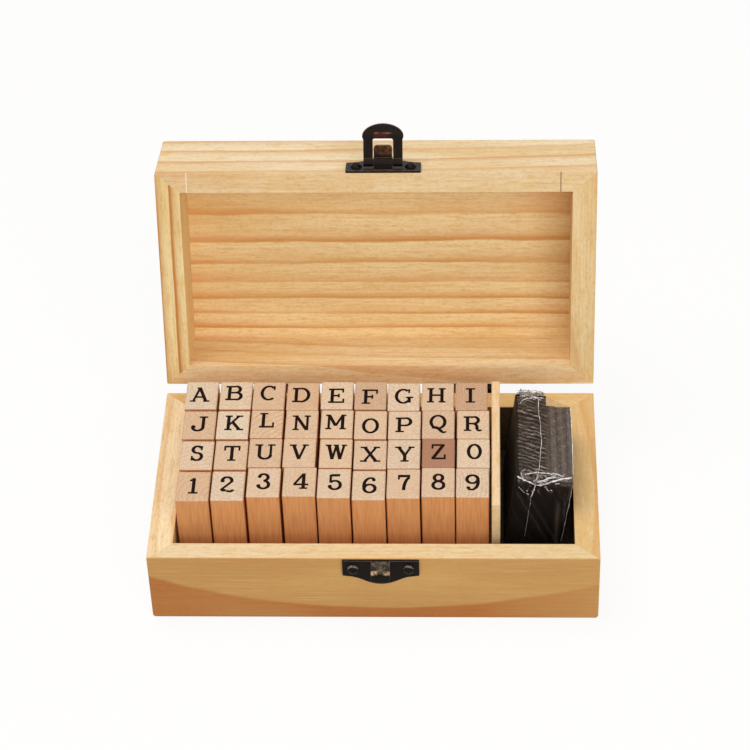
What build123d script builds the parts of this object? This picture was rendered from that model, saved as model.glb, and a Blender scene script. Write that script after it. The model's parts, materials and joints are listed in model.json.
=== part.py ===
from build123d import *
import math
import os

# A small pine box, shown open, with thirty-six wooden letter and number stamps and a wrapped ink pad.
# Millimetres. +X is to the right, +Y to the back, +Z up. The origin is the middle of the underside.
# The lid is drawn closed and then turned back about the hinge line to the angle at which it rests.

# Pine boards of the base and the lid
board_thickness = 9.3
end_wall_thickness = 9.3
long_wall_thickness = 8.0
rebate_reach = 4.0
base_height = 33.1
lid_height = 33.4
outer_edge_radius = 2.3
upright_edge_radius = 0.6
lid_open_angle = 103.9

# Stamps, named by what each one prints, from the back row to the front row
stamp_rows = ("abcdefghi", "jklnmopqr", "stuvwxyz0", "123456789")
stamp_width = 12.4
stamp_depth = 15.6
handle_height = 36.0
handle_chamfer = 0.35
rubber_height = 2.5
rubber_inset = 0.4
letter_relief = 0.3

# How loosely the stamps stand: gaps between them, and the share of the slack that each one has used up
side_gap = 0.8
column_gap = 0.75
column_slack = 1.2
back_gap = 1.65
back_slack = 1.5
row_gap = 0.2
row_slack = 1.05
front_room = 7.7
sway_shares = (
    (0.00, 0.20, 0.00, 0.10, 0.30, 0.20, 0.00, 0.10, 0.00),
    (0.30, 0.15, 0.10, 0.35, 0.70, 0.60, 0.50, 0.40, 0.60),
    (0.60, 0.50, 0.30, 0.30, 0.90, 0.90, 0.60, 0.60, 0.70),
    (0.50, 0.50, 0.65, 0.95, 0.90, 0.90, 0.75, 0.70, 0.50),
)
back_slack_shares = (0.0, 0.2, 0.2, 0.4, 0.0, 0.3, 0.7, 0.5, 0.4)
row_slack_shares = (1.0, 0.9, 0.25, 0.0, 0.45, 0.75, 0.25, 0.0, 0.15)

# Divider between the stamps and the ink pad, kept short so that the closing lid clears it
divider_thickness = 3.2
divider_gap = 0.4
divider_drop = 1.4
divider_front_gap = 7.0
divider_chamfer = 0.3

# Ink pad: a cover and a stepped tray of black plastic, standing on their long edge
pad_length = 46.8
pad_height = 39.1
cover_depth = 11.8
flange_depth = 3.4
foot_depth = 6.2
pad_wall = 1.2
flange_step = 5.4
foot_step = 1.8
foot_inset = 0.8
collar_height = 3.0
collar_gap = 0.2
felt_gap = 0.3
felt_rise = 1.6
felt_edge_radius = 0.8
pad_corner_radius = 1.6

# Clear film round the ink pad, and the room round the whole pack
film_thickness = 0.2
film_gap = 0.15
film_corner_radius = 1.2
pad_side_gap = 0.3
pad_lean_angle = 6.8
pad_left_room = 0.95
pad_back_room = 10.3

# Hinges: leaves on the back faces, with curled knuckles on a pin
hinge_offset = 36.0
hinge_width = 20.0
leaf_height = 12.5
leaf_thickness = 1.0
leaf_corner_radius = 1.6
pin_radius = 1.1
running_gap = 0.05
knuckle_standoff = 0.25
knuckle_share = 0.42
knuckle_gap = 0.2
notch_gap = 0.4
pin_head_radius = 1.6
pin_head_height = 0.6
hinge_screw_spacing = 11.0
hinge_screw_drop = 7.6
stop_width = 4.0
stop_reach = 2.4
stop_thickness = 1.2

# Latch: two plates of one outline, mirrored about the rim, with a barrel and a loop above and a hook below
latch_offset = 3.0
plate_width = 28.8
plate_height = 12.2
plate_ear_height = 7.8
plate_ear_width = 3.2
plate_ear_slope = 0.5
plate_thickness = 0.9
plate_corner_radius = 0.5
plate_edge_gap = 0.2
latch_screw_spacing = 20.8
latch_screw_drop = 4.6
tongue_thickness = 0.95
tongue_width = 7.3
barrel_rise = 3.2
barrel_out = 3.1
lip_length = 5.5
lip_width = 7.0
lip_thickness = 0.9
lip_corner_radius = 1.4
crossbar_radius = 1.15
loop_thickness = 0.9
loop_width = 15.0
loop_head_width = 15.8
loop_window_width = 7.8
loop_window_length = 9.4
loop_window_radius = 0.8
loop_shoulder = 10.4
loop_length = 14.8
loop_bend_start = 10.1
loop_bend_radius = 7.5
loop_bend_angle = 42.0
loop_eye_radius = 1.6
loop_rest_angle = 100.0
hook_width = 7.1
hook_thickness = 0.9
hook_out = 5.8
hook_slope = 2.0
hook_drop = 6.5
hook_bend_radius = 1.3

# Screws, all of one kind
screw_head_radius = 2.35
screw_head_height = 1.35
screw_shank_radius = 0.9
screw_length = 6.0
screw_point_length = 1.6
screw_slot_length = 2.5
screw_slot_width = 0.5
screw_slot_depth = 0.6
screw_hole_gap = 0.15
pilot_gap = 0.03

# One overrun serves every cut
overrun = 2.0

# Sizes that follow
columns = len(stamp_rows[0])
rows = len(stamp_rows)
stamp_height = letter_relief + rubber_height + handle_height
stamp_block_length = columns * stamp_width + (columns - 1) * column_gap + column_slack
stamp_block_width = back_gap + rows * stamp_depth + (rows - 1) * (row_gap + row_slack)
film_room = film_thickness + film_gap
pack_thickness = cover_depth + flange_depth + foot_depth + 2 * film_room
pack_length = pad_length + 2 * film_room
pack_height = pad_height + 2 * film_room
lean = math.radians(pad_lean_angle)
pad_bay_length = (
    pad_left_room + pack_thickness * math.cos(lean) + pack_height * math.sin(lean) + pad_side_gap
)
interior_length = side_gap + stamp_block_length + divider_gap + divider_thickness + pad_bay_length
interior_width = stamp_block_width + front_room
box_length = interior_length + 2 * end_wall_thickness
box_width = interior_width + 2 * long_wall_thickness
rebated_length = interior_length + 2 * rebate_reach
rebated_width = interior_width + 2 * rebate_reach
floor_top = board_thickness
left_face = -interior_length / 2
right_face = interior_length / 2
front_face = -interior_width / 2
back_face = interior_width / 2
divider_height = stamp_height - divider_drop
divider_left = left_face + side_gap + stamp_block_length + divider_gap

# Hinge sizes that follow
knuckle_radius = pin_radius + running_gap + leaf_thickness
hinge_out = knuckle_radius + knuckle_standoff
middle_knuckle = hinge_width * knuckle_share
outer_knuckle = (hinge_width - middle_knuckle) / 2 - knuckle_gap
notch_radius = knuckle_radius + notch_gap

# Latch sizes that follow
barrel_radius = crossbar_radius + running_gap + tongue_thickness

# Frames on the outer faces at the rim: local X along the face, local Y up, local Z out of the wood
front_at_rim = Plane(origin=(0, -box_width / 2, base_height), x_dir=(1, 0, 0), z_dir=(0, -1, 0))
back_at_rim = Plane(origin=(0, box_width / 2, base_height), x_dir=(-1, 0, 0), z_dir=(0, 1, 0))

# Lines that the lid and the loop turn on, with the lid closed
hinge_line = Axis((0, box_width / 2 + hinge_out, base_height), (1, 0, 0))
loop_line = Axis((0, -box_width / 2 - barrel_out, base_height + barrel_rise), (1, 0, 0))

standing = (Align.CENTER, Align.CENTER, Align.MIN)
from_corner = (Align.MIN, Align.MIN, Align.MIN)


def opened(shape):
    """A piece of the lid, turned from closed to the angle at which the lid rests."""
    return shape.rotate(hinge_line, -lid_open_angle)


def on_front(shape, across=0, up=0, out=0):
    """A shape drawn at the origin, placed on the outer front face, measured from the rim."""
    return front_at_rim.location * Pos(across, up, out) * shape


def on_back(shape, across=0, up=0, out=0):
    """A shape drawn at the origin, placed on the outer back face, measured from the rim."""
    return back_at_rim.location * Pos(across, up, out) * shape


# Screws

def screw():
    """A round-headed screw with a cross slot. The underside of its head is at the origin."""
    dome = make_face([
        Line((0, 0), (screw_head_radius, 0)),
        ThreePointArc(
            (screw_head_radius, 0),
            (screw_head_radius * 0.78, screw_head_height * 0.62),
            (0, screw_head_height),
        ),
        Line((0, screw_head_height), (0, 0)),
    ])
    head = revolve(Plane.XZ * dome, Axis.Z)
    bit = Box(screw_slot_length, screw_slot_width, 2 * screw_slot_depth)
    cross = bit + Rot(0, 0, 90) * bit
    straight = screw_length - screw_point_length
    shank = Pos(0, 0, -straight) * Cylinder(screw_shank_radius, straight, align=standing)
    point = Pos(0, 0, -straight - screw_point_length) * Cone(
        screw_shank_radius / 4, screw_shank_radius, screw_point_length, align=standing
    )
    return head - Pos(0, 0, screw_head_height) * cross + shank + point


def screw_bore(gap):
    """The round hole that a screw's shank passes through, centred on the origin."""
    return Cylinder(screw_shank_radius + gap, 2 * screw_length)


def pilot_bore():
    """The hole that a screw fills in the wood, from the face inwards."""
    return Cylinder(screw_shank_radius + pilot_gap, 2 * screw_length)


hinge_centres = (-hinge_offset, hinge_offset)
hinge_screw_places = [
    (centre + side * hinge_screw_spacing / 2, level * hinge_screw_drop)
    for centre in hinge_centres
    for side in (-1, 1)
    for level in (-1, 1)
]
latch_screw_places = [
    (latch_offset + side * latch_screw_spacing / 2, level * latch_screw_drop)
    for side in (-1, 1)
    for level in (-1, 1)
]


def below_rim(places):
    """The places that are on the base."""
    return [place for place in places if place[1] < 0]


def above_rim(places):
    """The places that are on the lid."""
    return [place for place in places if place[1] > 0]


def drilled(wall, places, put):
    """A wall with a pilot hole at each place on its outer face."""
    for across, up in places:
        wall -= put(pilot_bore(), across, up)
    return wall


# Base and lid

def ring_of_walls(height):
    """Four walls in one ring, rebated for a board and rounded along the outer edges at its foot."""
    block = Box(box_length, box_width, height, align=standing)
    block = fillet(block.edges().filter_by(Axis.Z), upright_edge_radius)
    block = fillet(block.faces().sort_by(Axis.Z)[0].edges(), outer_edge_radius)
    hollow = Box(interior_length, interior_width, 2 * height + overrun)
    rebate = Box(rebated_length, rebated_width, 2 * board_thickness)
    return block - hollow - rebate


def mitre_wedges(height):
    """Four upright wedges that part a ring into front, back, left and right, from outer to inner corners."""
    slant = end_wall_thickness / long_wall_thickness
    ridge = box_length / 2 - slant * box_width / 2
    x = box_length / 2 + slant * overrun
    y = box_width / 2 + overrun
    near_left = (-x, -y)
    near_right = (x, -y)
    far_left = (-x, y)
    far_right = (x, y)
    plans = {
        "front": (near_left, near_right, (ridge, 0), (-ridge, 0)),
        "back": (far_right, far_left, (-ridge, 0), (ridge, 0)),
        "left": (near_left, (-ridge, 0), far_left),
        "right": (near_right, far_right, (ridge, 0)),
    }
    return {
        side: extrude(Polygon(*points, align=None), height)
        for side, points in plans.items()
    }


def mitred_walls(ring, height):
    """The ring's four walls as separate boards that meet on their mitres."""
    return {side: ring & wedge for side, wedge in mitre_wedges(height).items()}


def closing_board():
    """The board that fills the rebate, flush with the walls' outer edge."""
    return Box(rebated_length, rebated_width, board_thickness, align=standing)


def base_nodes():
    walls = mitred_walls(ring_of_walls(base_height), base_height)
    walls["front"] = drilled(walls["front"], below_rim(latch_screw_places), on_front)
    walls["back"] = drilled(walls["back"], below_rim(hinge_screw_places), on_back)
    nodes = {f"base_{side}_wall": [wall] for side, wall in walls.items()}
    nodes["base_floor"] = [closing_board()]
    return nodes


def lid_nodes():
    lid_top = base_height + lid_height
    upside_down = Pos(0, 0, lid_top) * Rot(180, 0, 0)
    walls = mitred_walls(ring_of_walls(lid_height), lid_height)
    turned = {
        "front": upside_down * walls["back"],
        "back": upside_down * walls["front"],
        "left": upside_down * walls["left"],
        "right": upside_down * walls["right"],
    }
    turned["front"] = drilled(turned["front"], above_rim(latch_screw_places), on_front)
    turned["back"] = drilled(turned["back"], above_rim(hinge_screw_places), on_back)
    nodes = {f"lid_{side}_wall": [opened(wall)] for side, wall in turned.items()}
    nodes["lid_top_board"] = [opened(upside_down * closing_board())]
    return nodes


def divider():
    """The thin board that stands on the floor against the back wall, with its free edges eased."""
    length = interior_width - divider_front_gap
    board = Box(divider_thickness, length, divider_height, align=(Align.MIN, Align.MAX, Align.MIN))
    top_edges = board.faces().sort_by(Axis.Z)[-1].edges().filter_by(Axis.Y)
    front_edges = board.faces().sort_by(Axis.Y)[0].edges().filter_by(Axis.Z)
    board = chamfer(top_edges + front_edges, divider_chamfer)
    return Pos(divider_left, back_face, floor_top) * board


# Stamps

def stamp():
    """A wooden handle with eased edges on a rubber die. The floor is at the origin's height."""
    rubber = Pos(0, 0, letter_relief) * Box(
        stamp_width - 2 * rubber_inset, stamp_depth - 2 * rubber_inset, rubber_height, align=standing
    )
    handle = Box(stamp_width, stamp_depth, handle_height, align=standing)
    handle = chamfer(handle.edges(), handle_chamfer)
    return [Pos(0, 0, letter_relief + rubber_height) * handle, rubber]


def stamp_place(row, column):
    """Where the middle of a stamp stands on the floor."""
    step_across = stamp_width + column_gap
    step_back = stamp_depth + row_gap + row_slack * row_slack_shares[column]
    sway = column_slack * sway_shares[row][column]
    lag = back_gap + back_slack * back_slack_shares[column] * (1 - row_slack_shares[column])
    x = left_face + side_gap + stamp_width / 2 + column * step_across + sway
    y = back_face - lag - stamp_depth / 2 - row * step_back
    return Pos(x, y, floor_top)


def stamp_nodes():
    pieces = stamp()
    nodes = {}
    for row, names in enumerate(stamp_rows):
        for column, name in enumerate(names):
            place = stamp_place(row, column)
            nodes[f"stamp_{name}"] = [place * piece for piece in pieces]
    return nodes


# Ink pad, drawn lying on the back of its cover: local X is its length, Y its height, Z its thickness

def rounded_block(length, height, depth, radius):
    block = Box(length, height, depth, align=from_corner)
    return fillet(block.edges().filter_by(Axis.Z), radius)


def pad_cover():
    """A shallow cup that the tray's collar plugs into."""
    cup = rounded_block(pad_length, pad_height, cover_depth, pad_corner_radius)
    cup = chamfer(cup.faces().sort_by(Axis.Z)[0].edges(), pad_wall / 2)
    hollow = rounded_block(
        pad_length - 2 * pad_wall, pad_height - 2 * pad_wall, cover_depth, pad_corner_radius - pad_wall / 2
    )
    return cup - Pos(pad_wall, pad_wall, pad_wall) * hollow


def pad_tray():
    """Flange, smaller foot and hollow collar in one moulding, with a well for the felt."""
    flange = rounded_block(pad_length - flange_step, pad_height, flange_depth, pad_corner_radius)
    foot = rounded_block(
        pad_length - flange_step - foot_step - foot_inset,
        pad_height - 2 * foot_inset,
        foot_depth,
        pad_corner_radius,
    )
    foot = chamfer(foot.faces().sort_by(Axis.Z)[-1].edges(), foot_inset)
    room = pad_wall + collar_gap
    collar = rounded_block(
        pad_length - flange_step - 2 * room, pad_height - 2 * room, collar_height, pad_corner_radius / 2
    )
    well = rounded_block(
        pad_length - flange_step - 2 * room - 2 * pad_wall,
        pad_height - 2 * room - 2 * pad_wall,
        collar_height + flange_depth / 2,
        pad_corner_radius / 4,
    )
    tray = flange + Pos(foot_inset, foot_inset, flange_depth) * foot
    tray += Pos(room, room, -collar_height) * collar
    tray -= Pos(room + pad_wall, room + pad_wall, -collar_height) * well
    return Pos(0, 0, cover_depth) * tray


def pad_felt():
    """The inked felt that fills the tray's well and stands a little proud of the collar."""
    inset = 2 * pad_wall + collar_gap + felt_gap
    depth = collar_height + flange_depth / 2 + felt_rise
    felt = Box(
        pad_length - flange_step - 2 * inset, pad_height - 2 * inset, depth, align=from_corner
    )
    felt = fillet(felt.faces().sort_by(Axis.Z)[0].edges(), felt_edge_radius)
    return Pos(inset, inset, cover_depth + flange_depth / 2 - depth) * felt


def pad_wrap():
    """The clear film, closed all round the case."""
    case_thickness = cover_depth + flange_depth + foot_depth
    outside = Box(
        pad_length + 2 * film_room, pad_height + 2 * film_room, case_thickness + 2 * film_room, align=from_corner
    )
    outside = fillet(outside.edges(), film_corner_radius)
    inside = Box(
        pad_length + 2 * film_gap, pad_height + 2 * film_gap, case_thickness + 2 * film_gap, align=from_corner
    )
    inside = fillet(inside.edges(), film_corner_radius - film_thickness)
    film = outside - Pos(film_thickness, film_thickness, film_thickness) * inside
    return Pos(-film_room, -film_room, -film_room) * film


def pad_nodes():
    """The pack stands on its lower right edge and leans until its upper right edge is at the wall's plane."""
    rounding = film_corner_radius * (math.sin(lean) + math.cos(lean) - 1)
    heel = Plane(
        origin=(
            right_face - pad_side_gap + rounding - pack_height * math.sin(lean),
            back_face - pad_back_room - pack_length + film_room,
            floor_top - rounding,
        ),
        x_dir=(0, 1, 0),
        z_dir=(math.cos(lean), 0, -math.sin(lean)),
    ).location
    stand = heel * Pos(0, film_room, film_room - pack_thickness)
    return {
        "pad_cover": [stand * pad_cover()],
        "pad_tray": [stand * pad_tray()],
        "pad_felt": [stand * pad_felt()],
        "pad_wrap": [stand * pad_wrap()],
    }


# Hinges, drawn on the back face with the rim at Y = 0. The base leaf hangs down and the lid leaf stands up.

def along_x(sketch, width):
    """A side view in (up, out), extruded evenly to both sides."""
    return extrude(Plane.YZ * sketch, width / 2, both=True)


def knuckle(width):
    """A length of the curled barrel round the pin."""
    ring = Circle(knuckle_radius) - Circle(pin_radius + running_gap)
    return Pos(0, 0, hinge_out) * along_x(ring, width)


def leaf_plate(direction):
    """The flat part of a leaf, rounded at its far corners, up or down from the rim."""
    plate = Pos(0, direction * leaf_height / 2, 0) * Box(hinge_width, leaf_height, leaf_thickness, align=standing)
    far = plate.edges().filter_by(Axis.Z).sort_by(Axis.Y)
    corners = far[-2:] if direction > 0 else far[:2]
    plate = fillet(corners, leaf_corner_radius)
    for across in (-hinge_screw_spacing / 2, hinge_screw_spacing / 2):
        plate -= Pos(across, direction * hinge_screw_drop, 0) * screw_bore(screw_hole_gap)
    return plate


def base_leaf():
    """Two outer knuckles, with the plate notched round the middle one."""
    plate = leaf_plate(-1)
    notch = Box(middle_knuckle + 2 * knuckle_gap, 2 * notch_radius, overrun + leaf_thickness)
    leaf = plate - notch
    for side in (-1, 1):
        leaf += Pos(side * (hinge_width - outer_knuckle) / 2, 0, 0) * knuckle(outer_knuckle)
    return leaf


def lid_leaf():
    """One middle knuckle, with the plate notched round the outer ones."""
    leaf = leaf_plate(1)
    notch = Box(outer_knuckle + knuckle_gap + overrun, 2 * notch_radius, overrun + leaf_thickness)
    for side in (-1, 1):
        leaf -= Pos(side * (middle_knuckle + outer_knuckle + knuckle_gap + overrun) / 2, 0, 0) * notch
    return leaf + knuckle(middle_knuckle)


def stop_lug():
    """The lug that bears on the base leaf when the lid is open. It is drawn in the open place."""
    reach = notch_radius + stop_reach
    lug = Box(
        stop_width, reach - pin_radius - running_gap, stop_thickness,
        align=(Align.CENTER, Align.MAX, Align.MIN),
    )
    return Pos(0, -pin_radius - running_gap, leaf_thickness + running_gap) * lug


def hinge_pin():
    """A pin with a small head at each end, turning in the knuckles."""
    pin = Cylinder(pin_radius, hinge_width, rotation=(0, 90, 0))
    for side in (-1, 1):
        pin += Pos(side * (hinge_width + pin_head_height) / 2, 0, 0) * Cylinder(
            pin_head_radius, pin_head_height, rotation=(0, 90, 0)
        )
    return Pos(0, 0, hinge_out) * pin


def hinge_nodes():
    base_leaves = [on_back(base_leaf(), centre) for centre in hinge_centres]
    lid_leaves = [
        opened(on_back(lid_leaf(), centre)) + on_back(stop_lug(), centre) for centre in hinge_centres
    ]
    pins = [on_back(hinge_pin(), centre) for centre in hinge_centres]
    return {"hinge_base_leaves": base_leaves, "hinge_lid_leaves": lid_leaves, "hinge_pins": pins}


# Latch, drawn on the front face with the rim at Y = 0. Up is the lid's side.

def plate_outline():
    """One latch plate below the rim: a straight edge, two short ears and a bowed foot."""
    half = plate_width / 2
    ear = half - plate_ear_width
    low = plate_ear_height + plate_ear_slope
    lean_out = (-plate_ear_width, -plate_ear_slope)
    lean_in = (-plate_ear_width, plate_ear_slope)
    return make_face([
        Line((-half, 0), (half, 0)),
        Line((half, 0), (half, -plate_ear_height)),
        Line((half, -plate_ear_height), (ear, -low)),
        Spline((ear, -low), (0, -plate_height), tangents=(lean_out, (-1, 0))),
        Spline((0, -plate_height), (-ear, -low), tangents=((-1, 0), lean_in)),
        Line((-ear, -low), (-half, -plate_ear_height)),
        Line((-half, -plate_ear_height), (-half, 0)),
    ])


def latch_plate():
    """The flat plate below the rim, with its screw holes."""
    plate = extrude(plate_outline(), plate_thickness)
    corners = plate.edges().filter_by(Axis.Z).sort_by(Axis.X)
    plate = fillet(corners[:2] + corners[-2:], plate_corner_radius)
    plate = Pos(0, -plate_edge_gap, 0) * plate
    for across, up in below_rim(latch_screw_places):
        plate -= Pos(across - latch_offset, up, 0) * screw_bore(screw_hole_gap)
    return plate


def hasp_plate():
    """The lid's plate: its tongue is rolled into a barrel for the loop and ends in a short lip."""
    plate = mirror(latch_plate(), Plane.XZ)
    barrel = Circle(barrel_radius) - Circle(crossbar_radius + running_gap)
    web = Pos(-barrel_radius + tongue_thickness / 2, -barrel_out / 2) * Rectangle(tongue_thickness, barrel_out)
    roll = along_x(barrel + (web - Circle(crossbar_radius + running_gap)), tongue_width)
    lip_reach = barrel_radius - tongue_thickness / 2 + lip_length
    lip = Box(lip_width, lip_thickness, lip_reach, align=standing)
    lip = fillet(lip.faces().sort_by(Axis.Z)[-1].edges().filter_by(Axis.Y), lip_corner_radius)
    lip -= Cylinder(crossbar_radius + running_gap, 2 * lip_width, rotation=(0, 90, 0))
    return plate + Pos(0, barrel_rise, barrel_out) * (roll + lip)


def catch_plate():
    """The base's plate: a tongue at its top edge slopes out and is bent down into a hook."""
    root = -plate_edge_gap - hook_thickness / 2
    tip_out = hook_out - hook_thickness / 2
    path = FilletPolyline(
        (root, 0),
        (root, plate_thickness),
        (root - hook_slope, tip_out),
        (-hook_drop, tip_out),
        radius=hook_bend_radius,
    )
    return latch_plate() + along_x(trace(path, hook_thickness), hook_width)


def hasp_loop():
    """A flat loop on a round crossbar, drawn hanging down from the origin, with its end bent out."""
    half = loop_thickness / 2
    sweep = loop_bend_angle
    centre = (-loop_bend_start, loop_bend_radius)
    back_arc = CenterArc(centre, loop_bend_radius + half, -90, -sweep)
    front_arc = CenterArc(centre, loop_bend_radius - half, -90 - sweep, sweep)
    side_view = make_face([
        Line((0, -half), (-loop_bend_start, -half)),
        back_arc,
        Line(back_arc @ 1, front_arc @ 0),
        front_arc,
        Line((-loop_bend_start, half), (0, half)),
        Line((0, half), (0, -half)),
    ])
    strip = along_x(side_view, loop_head_width)
    head = Pos(0, -loop_shoulder) * Ellipse(loop_head_width / 2, loop_length - loop_shoulder)
    front_view = Pos(0, -loop_shoulder / 2) * Rectangle(loop_width, loop_shoulder) + head
    window = Pos(0, -loop_window_length / 2) * RectangleRounded(
        loop_window_width, loop_window_length, loop_window_radius
    )
    mouth = Pos(0, -loop_window_length / 4) * Rectangle(loop_window_width, loop_window_length / 2 + loop_thickness)
    flat = extrude(front_view - window - mouth, loop_length, both=True)
    loop = strip & flat
    leg_width = (loop_width - loop_window_width) / 2
    for side in (-1, 1):
        loop += Pos(side * (loop_width - leg_width) / 2, 0, 0) * Cylinder(
            loop_eye_radius, leg_width, rotation=(0, 90, 0)
        )
    return loop + Cylinder(crossbar_radius, loop_width, rotation=(0, 90, 0))


def latch_nodes():
    loop = on_front(hasp_loop(), latch_offset, barrel_rise, barrel_out)
    return {
        "hasp_plate": [opened(on_front(hasp_plate(), latch_offset))],
        "hasp_loop": [opened(loop.rotate(loop_line, -loop_rest_angle))],
        "catch_plate": [on_front(catch_plate(), latch_offset)],
    }


def screw_nodes():
    """All screws of the base in one node and all screws of the lid in another."""
    base = [on_front(screw(), x, up, plate_thickness) for x, up in below_rim(latch_screw_places)]
    base += [on_back(screw(), x, up, leaf_thickness) for x, up in below_rim(hinge_screw_places)]
    lid = [on_front(screw(), x, up, plate_thickness) for x, up in above_rim(latch_screw_places)]
    lid += [on_back(screw(), x, up, leaf_thickness) for x, up in above_rim(hinge_screw_places)]
    return {"base_screws": base, "lid_screws": [opened(piece) for piece in lid]}


def all_nodes():
    nodes = base_nodes()
    nodes["divider"] = [divider()]
    nodes.update(lid_nodes())
    nodes.update(hinge_nodes())
    nodes.update(latch_nodes())
    nodes.update(screw_nodes())
    nodes.update(pad_nodes())
    nodes.update(stamp_nodes())
    return nodes


os.makedirs("parts", exist_ok=True)
for name, pieces in all_nodes().items():
    solids = [solid for piece in pieces for solid in piece.solids()]
    export_step(Compound(solids), f"parts/{name}.step")
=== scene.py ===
"""Dresses the open pine stamp box: wood grain, printed stamps, bronze latch, wrapped ink pad and studio."""

import json
import math
from collections import namedtuple

import bpy
import numpy as np
from mathutils import Matrix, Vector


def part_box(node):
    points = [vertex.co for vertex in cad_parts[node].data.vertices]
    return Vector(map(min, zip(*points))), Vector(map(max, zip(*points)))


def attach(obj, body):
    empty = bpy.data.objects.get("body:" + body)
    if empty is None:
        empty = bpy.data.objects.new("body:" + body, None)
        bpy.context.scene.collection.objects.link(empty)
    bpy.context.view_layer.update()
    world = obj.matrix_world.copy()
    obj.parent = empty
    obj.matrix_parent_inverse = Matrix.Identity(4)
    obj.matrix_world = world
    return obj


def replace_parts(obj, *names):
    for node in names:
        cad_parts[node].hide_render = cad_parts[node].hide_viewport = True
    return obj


bl_info = {
    "name": "Pine stamp box",
    "version": (1, 0, 0),
    "blender": (4, 5, 0),
    "location": "View3D > Sidebar > Stamp box",
    "description": "Finishes a small open pine box of printed stamps with its latch and wrapped ink pad",
    "category": "Add Mesh",
}

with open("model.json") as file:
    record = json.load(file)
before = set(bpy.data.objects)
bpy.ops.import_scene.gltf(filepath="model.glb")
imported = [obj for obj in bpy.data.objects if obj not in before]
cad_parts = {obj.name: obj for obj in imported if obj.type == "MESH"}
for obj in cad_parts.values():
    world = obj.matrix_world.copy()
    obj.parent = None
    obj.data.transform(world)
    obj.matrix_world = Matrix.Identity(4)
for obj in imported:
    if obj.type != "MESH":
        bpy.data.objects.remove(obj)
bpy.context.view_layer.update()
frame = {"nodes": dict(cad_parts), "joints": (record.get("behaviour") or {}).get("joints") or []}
joints = {joint["name"]: joint for joint in frame["joints"]}

MM = 0.001
TENTH = 0.1 * MM
PER_METRE = 1000.0
HINGE = np.array(joints["lid_hinge"]["pos_m"])
LID_ANGLE = math.radians(-joints["lid_hinge"]["range_deg"][0])
STAMP_ROWS = ("abcdefghi", "jklnmopqr", "stuvwxyz0", "123456789")
PAD_BODY = "ink_pad"
# The wrapped ink pad, in millimetres along its own leaning axes, and the latch's middle along the box
PACK_SIZE = (22.1, 47.5, 39.8)
PACK_LEAN = math.radians(6.8)
LATCH_X = 3.0
WHITE = (1.0, 1.0, 1.0, 1.0)


def tone(red, green, blue):
    """A colour as seen on a display, from 0 to 255, turned into the linear values that shaders use."""
    shares = np.array((red, green, blue)) / 255
    curve = ((shares + 0.055) / 1.055) ** 2.4
    return tuple(float(value) for value in np.where(shares <= 0.04045, shares / 12.92, curve))


def with_alpha(colour):
    return (*colour, 1.0)


# Settings that a user would change

def colour_property(name, description, *shown):
    return bpy.props.FloatVectorProperty(
        name=name, description=description, subtype="COLOR", size=3, min=0, max=1, default=tone(*shown)
    )


def share_property(name, description, default):
    return bpy.props.FloatProperty(
        name=name, description=description, subtype="FACTOR", min=0, max=1, default=default
    )


def length_property(name, description, default):
    return bpy.props.FloatProperty(
        name=name, description=description, subtype="DISTANCE", unit="LENGTH", min=0, precision=5,
        default=default,
    )


def power_property(name, description, default):
    return bpy.props.FloatProperty(name=name, description=description, unit="POWER", default=default)


class PineLook(bpy.types.PropertyGroup):
    early: colour_property("Early wood", "Pale wood between the rings", 238, 213, 164)
    late: colour_property("Late wood", "Orange wood of the rings", 211, 142, 66)
    warm: colour_property("Warm wood", "Tone of the warmer patches", 226, 184, 112)
    dust: colour_property("Sanded wood", "Pale tone that sanding leaves", 246, 228, 190)
    roughness: share_property("Roughness", "Planed and unfinished", 0.6)


class StampLook(bpy.types.PropertyGroup):
    side: colour_property("Handle side", "Long grain of the handles", 232, 166, 106)
    side_dark: colour_property("Handle side fibres", "Darker fibres of the long grain", 198, 126, 72)
    end: colour_property("Handle end", "Sanded end grain", 227, 212, 187)
    end_dark: colour_property("Handle end rings", "Rings of the end grain", 198, 158, 124)
    red: colour_property("Red heart wood", "Tone of the reddest handles", 158, 104, 76)
    rubber: colour_property("Rubber", "Die under the handle", 142, 74, 58)
    ink: colour_property("Ink", "Printed letters and numbers", 26, 14, 10)
    letter_height: length_property("Letter height", "Height of a printed capital", 8.3 * MM)


class MetalLook(bpy.types.PropertyGroup):
    dark: colour_property("Patina", "Dark antique bronze", 25, 19, 16)
    bright: colour_property("Rubbed bronze", "Copper that shows where the patina is rubbed", 160, 118, 86)
    roughness: share_property("Roughness", "Patina's roughness", 0.38)


class PadLook(bpy.types.PropertyGroup):
    plastic: colour_property("Case", "Black plastic of the case", 24, 20, 18)
    felt: colour_property("Felt", "Inked felt", 18, 18, 22)
    film: colour_property("Film", "Haze of the clear film", 158, 140, 126)
    crease: colour_property("Crease", "Stretched folds of the film", 250, 240, 238)


class StudioLook(bpy.types.PropertyGroup):
    floor: colour_property("Floor", "Pale floor", 206, 201, 194)
    key_power: power_property("Key light", "Lamp over the box", 8.0)
    fill_power: power_property("Fill light", "Lamp in front of the box", 9.3)
    sky: share_property("Sky", "Even light from all round", 0.44)


LOOKS = {
    "stamp_box_pine": PineLook,
    "stamp_box_stamps": StampLook,
    "stamp_box_metal": MetalLook,
    "stamp_box_pad": PadLook,
    "stamp_box_studio": StudioLook,
}


def look(name):
    return getattr(bpy.context.scene, f"stamp_box_{name}")


# Shaders

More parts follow.
